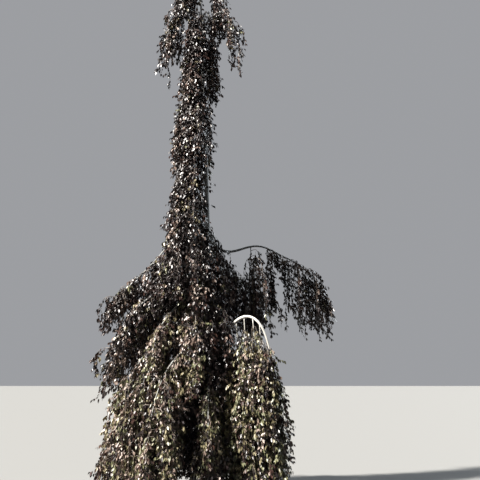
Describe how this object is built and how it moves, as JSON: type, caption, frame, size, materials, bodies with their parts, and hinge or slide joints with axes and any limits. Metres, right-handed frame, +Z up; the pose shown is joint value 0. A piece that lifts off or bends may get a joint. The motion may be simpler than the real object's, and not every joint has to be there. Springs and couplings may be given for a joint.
{
  "type": "weeping purple beech tree",
  "caption": "Weeping beech in dark purple leaf: a slender upright trunk, arching boughs and curtains of hanging leafy strands that fall almost to the ground.",
  "frame": {"origin": "middle of the flat cut under the trunk, at ground level", "axes": "+Z up along the trunk; -Y towards the viewer of the picture; +X to the viewer's right"},
  "size_m": [3.583, 2.706, 8.606],
  "materials": {
    "bark": "smooth grey bark, matt",
    "foliage_purple": "dark purple-brown leaves with a waxy sheen",
    "foliage_copper": "reddish copper leaves with a waxy sheen",
    "foliage_bronze": "bronze-olive leaves with a waxy sheen"
  },
  "bodies": {
    "root": {"bough_arch_fall": "bark", "bough_arch_rise": "bark", "bough_back_left": "bark", "bough_back_middle": "bark", "bough_front_middle": "bark", "bough_left_arch": "bark", "bough_left_middle": "bark", "bough_left_shoulder": "bark", "bough_right_inner": "bark", "bough_right_outer": "bark", "bough_skirt_back": "bark", "bough_skirt_back_left": "bark", "bough_skirt_back_right": "bark", "bough_skirt_far_left": "bark", "bough_skirt_front": "bark", "bough_skirt_front_left": "bark", "bough_skirt_left": "bark", "bough_skirt_right": "bark", "mass_arch": "foliage_bronze", "mass_arch_curtain_1": "foliage_bronze", "mass_arch_curtain_2": "foliage_bronze", "mass_back_left": "foliage_purple", "mass_back_middle": "foliage_purple", "mass_column_lower_1": "foliage_purple", "mass_column_lower_2": "foliage_purple", "mass_column_lower_3": "foliage_purple", "mass_column_lower_4": "foliage_purple", "mass_column_upper_1": "foliage_purple", "mass_column_upper_2": "foliage_purple", "mass_column_upper_3": "foliage_purple", "mass_column_upper_4": "foliage_purple", "mass_crown_back": "foliage_purple", "mass_crown_front": "foliage_purple", "mass_crown_front_right": "foliage_purple", "mass_crown_high_left": "foliage_purple", "mass_crown_high_right": "foliage_purple", "mass_crown_left": "foliage_purple", "mass_crown_right": "foliage_purple", "mass_crown_tip": "foliage_purple", "mass_front_middle": "foliage_purple", "mass_front_right": "foliage_purple", "mass_front_upper": "foliage_purple", "mass_left_arch": "foliage_purple", "mass_left_inner": "foliage_purple", "mass_left_middle": "foliage_purple", "mass_left_shoulder": "foliage_purple", "mass_right_inner": "foliage_purple", "mass_right_middle": "foliage_purple", "mass_right_outer": "foliage_purple", "mass_skirt_back": "foliage_copper", "mass_skirt_back_left": "foliage_copper", "mass_skirt_back_right": "foliage_copper", "mass_skirt_far_left": "foliage_copper", "mass_skirt_front": "foliage_copper", "mass_skirt_front_left": "foliage_copper", "mass_skirt_left": "foliage_copper", "mass_skirt_right": "foliage_copper", "trunk": "bark"}
  },
  "joints": []
}
